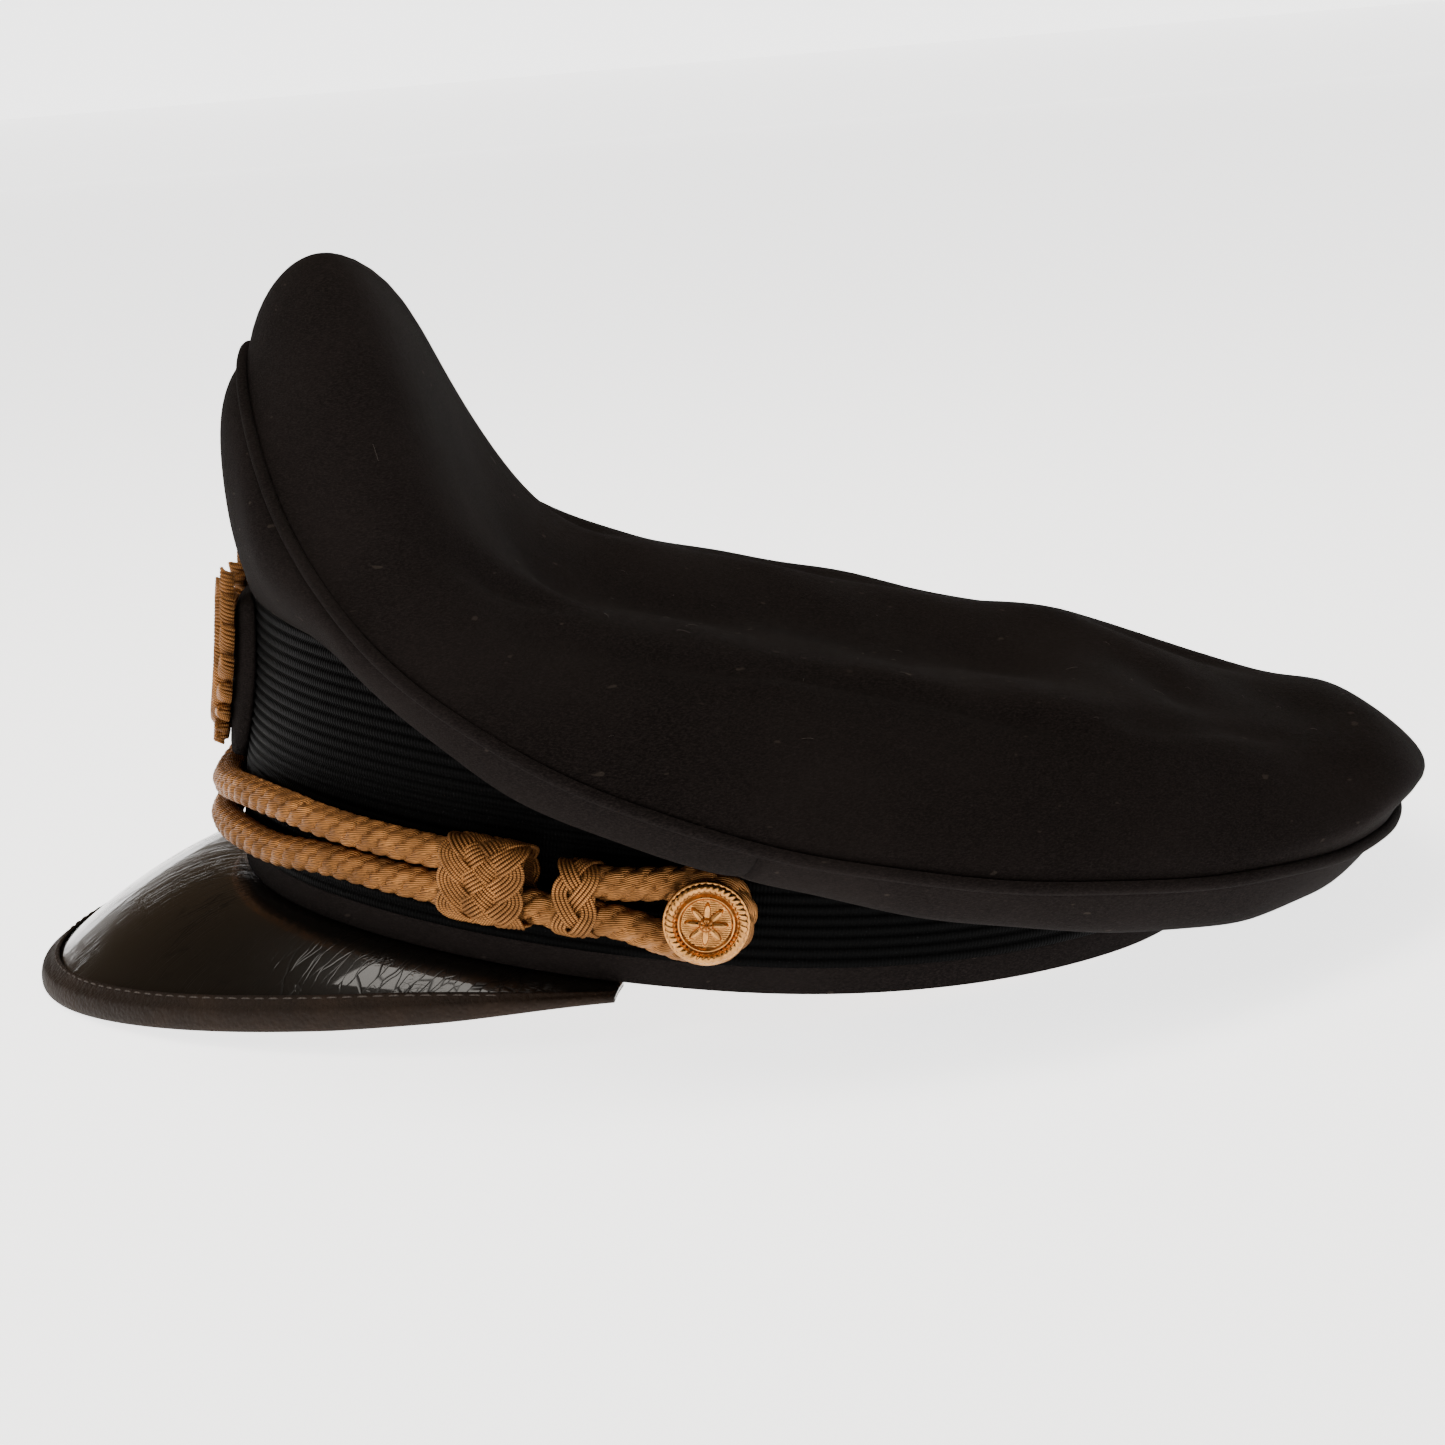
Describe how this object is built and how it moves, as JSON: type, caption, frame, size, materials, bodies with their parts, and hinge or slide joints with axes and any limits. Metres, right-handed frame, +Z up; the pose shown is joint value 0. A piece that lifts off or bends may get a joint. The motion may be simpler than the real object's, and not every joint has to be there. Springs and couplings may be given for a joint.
{
  "type": "military peaked cap",
  "caption": "High-front peaked cap with crushed cloth crown, ribbed band, glossy visor, twin chin cords with sliding knots and turning side buttons.",
  "frame": {"origin": "middle of the cap's bounding box on the surface it stands on", "axes": "+Z up, -Y towards the visor, +X towards the wearer's left; the cap stands on the visor's edge and the back of the band, so its band is tipped back by 8.64 degrees"},
  "size_m": [0.2326, 0.2998, 0.1495],
  "materials": {
    "crown_cloth": "matt napped wool cloth",
    "ribbed_braid": "black ribbed mohair braid",
    "band_fibre": "stiff pressed fibre",
    "reed": "covered reed",
    "patent_leather": "high gloss patent",
    "binding_leather": "worn dark leather",
    "visor_underside": "matt embossed leather cloth",
    "sweatband_leather": "smooth tan leather",
    "ribbon": "silk ribbon",
    "lining_satin": "satin lining",
    "shield_film": "clear celluloid film",
    "spring_steel": "drawn spring steel",
    "brass_trim": "plain brass",
    "buckram": "stiffened buckram",
    "badge_felt": "black badge cloth",
    "gold_bullion": "aged gold bullion thread",
    "gilt_brass": "gilt stamped brass"
  },
  "bodies": {
    "cap": {"crown_top": "crown_cloth", "crown_quarter_front_left": "crown_cloth", "crown_quarter_front_right": "crown_cloth", "crown_quarter_back_left": "crown_cloth", "crown_quarter_back_right": "crown_cloth", "crown_edge_welt": "crown_cloth", "ribbed_braid_band": "ribbed_braid", "band_cloth": "crown_cloth", "band_foundation": "band_fibre", "band_edge_reed": "reed", "visor_shell": "patent_leather", "visor_binding": "binding_leather", "visor_lining": "visor_underside", "sweatband": "sweatband_leather", "sweatband_bow": "ribbon", "side_lining": "lining_satin", "crown_lining": "lining_satin", "sweat_shield": "shield_film", "crown_wire": "spring_steel", "crown_wire_sleeve": "brass_trim", "front_stay": "spring_steel", "front_stiffener": "buckram", "badge_backing": "badge_felt", "badge_wreath_left": "gold_bullion", "badge_wreath_right": "gold_bullion", "badge_wreath_tie": "gold_bullion", "badge_cockade": "gold_bullion", "chin_cord_lower": "gold_bullion", "chin_cord_upper": "gold_bullion", "left_eyelet": "brass_trim", "right_eyelet": "brass_trim"},
    "left_slide": {"left_slide_knot": "gold_bullion"},
    "right_slide": {"right_slide_knot": "gold_bullion"},
    "left_keeper": {"left_keeper_knot": "gold_bullion"},
    "right_keeper": {"right_keeper_knot": "gold_bullion"},
    "left_button": {"left_button_face": "gilt_brass", "left_button_back": "gilt_brass", "left_button_shank": "gilt_brass", "left_split_pin": "spring_steel"},
    "right_button": {"right_button_face": "gilt_brass", "right_button_back": "gilt_brass", "right_button_shank": "gilt_brass", "right_split_pin": "spring_steel"}
  },
  "joints": [
    {"name": "left_button_turn", "type": "hinge", "parent": "cap", "child": "left_button", "pos_m": [0.08543, -0.00364, 0.02556], "axis": [1, 0, 0], "continuous": true},
    {"name": "left_slide_knot_travel", "type": "hinge", "parent": "cap", "child": "left_slide", "pos_m": [-0.03209, 0.00077, 0.02666], "axis": [0, -0.1501, -0.9887], "range_deg": [-0.37, 6.31]},
    {"name": "left_keeper_knot_travel", "type": "hinge", "parent": "cap", "child": "left_keeper", "pos_m": [-0.03209, 0.00067, 0.02597], "axis": [0, -0.1501, -0.9887], "range_deg": [0, 0.75]},
    {"name": "right_button_turn", "type": "hinge", "parent": "cap", "child": "right_button", "pos_m": [-0.08543, -0.00364, 0.02556], "axis": [-1, 0, 0], "continuous": true},
    {"name": "right_slide_knot_travel", "type": "hinge", "parent": "cap", "child": "right_slide", "pos_m": [0.03209, 0.00077, 0.02666], "axis": [0, 0.1501, 0.9887], "range_deg": [-0.37, 6.31]},
    {"name": "right_keeper_knot_travel", "type": "hinge", "parent": "cap", "child": "right_keeper", "pos_m": [0.03209, 0.00067, 0.02597], "axis": [0, 0.1501, 0.9887], "range_deg": [0, 0.75]}
  ]
}
